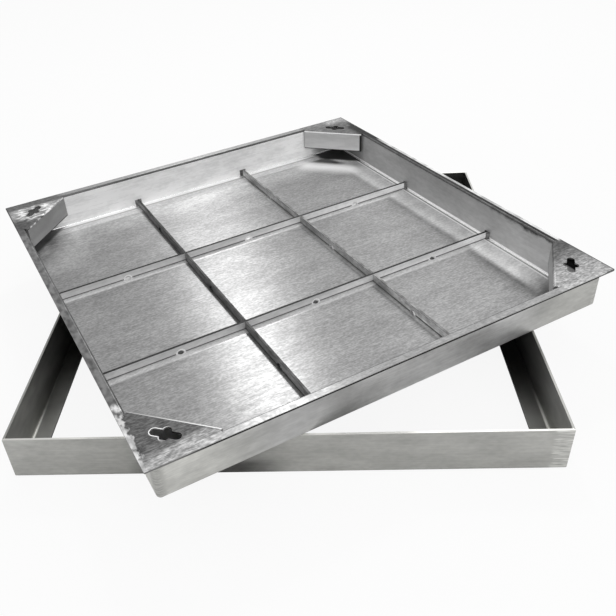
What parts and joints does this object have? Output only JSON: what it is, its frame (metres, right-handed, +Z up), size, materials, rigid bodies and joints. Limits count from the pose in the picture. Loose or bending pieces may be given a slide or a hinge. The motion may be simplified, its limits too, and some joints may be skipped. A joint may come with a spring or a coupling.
{
  "type": "recessed inspection cover with frame",
  "caption": "Square tray-type shaft cover for paving, with ribs and corner key plates, laid turned on its folded steel frame.",
  "frame": {"origin": "on the ground under the middle of the lid, which is the middle of the whole object's box", "axes": "+Z up; X and Y along the sides of the square frame; the lid is turned 30.4 degrees about +Z"},
  "size_m": [0.8258, 0.8258, 0.1115],
  "materials": {
    "lid_sheet_metal": "bright rolled sheet with a fine straight grain",
    "rib_strip": "bright sheared strip",
    "ground_plate": "coarsely ground flush with the rim",
    "frame_sheet_metal": "dull bright rolled sheet with soft streaks",
    "weld_metal": "ground weld"
  },
  "bodies": {
    "root": {"lid_tray": "lid_sheet_metal", "rib_left": "rib_strip", "rib_right": "rib_strip", "rib_front": "rib_strip", "rib_back": "rib_strip", "key_plate_back": "ground_plate", "key_plate_left": "ground_plate", "key_plate_front": "ground_plate", "key_plate_right": "ground_plate", "frame_side_front": "frame_sheet_metal", "frame_side_right": "frame_sheet_metal", "frame_side_back": "frame_sheet_metal", "frame_side_left": "frame_sheet_metal", "key_plate_weld_back": "weld_metal", "key_plate_weld_left": "weld_metal", "key_plate_weld_front": "weld_metal", "key_plate_weld_right": "weld_metal", "frame_weld_front": "weld_metal", "frame_weld_right": "weld_metal", "frame_weld_back": "weld_metal", "frame_weld_left": "weld_metal", "rib_end_tacks": "weld_metal"}
  },
  "joints": []
}
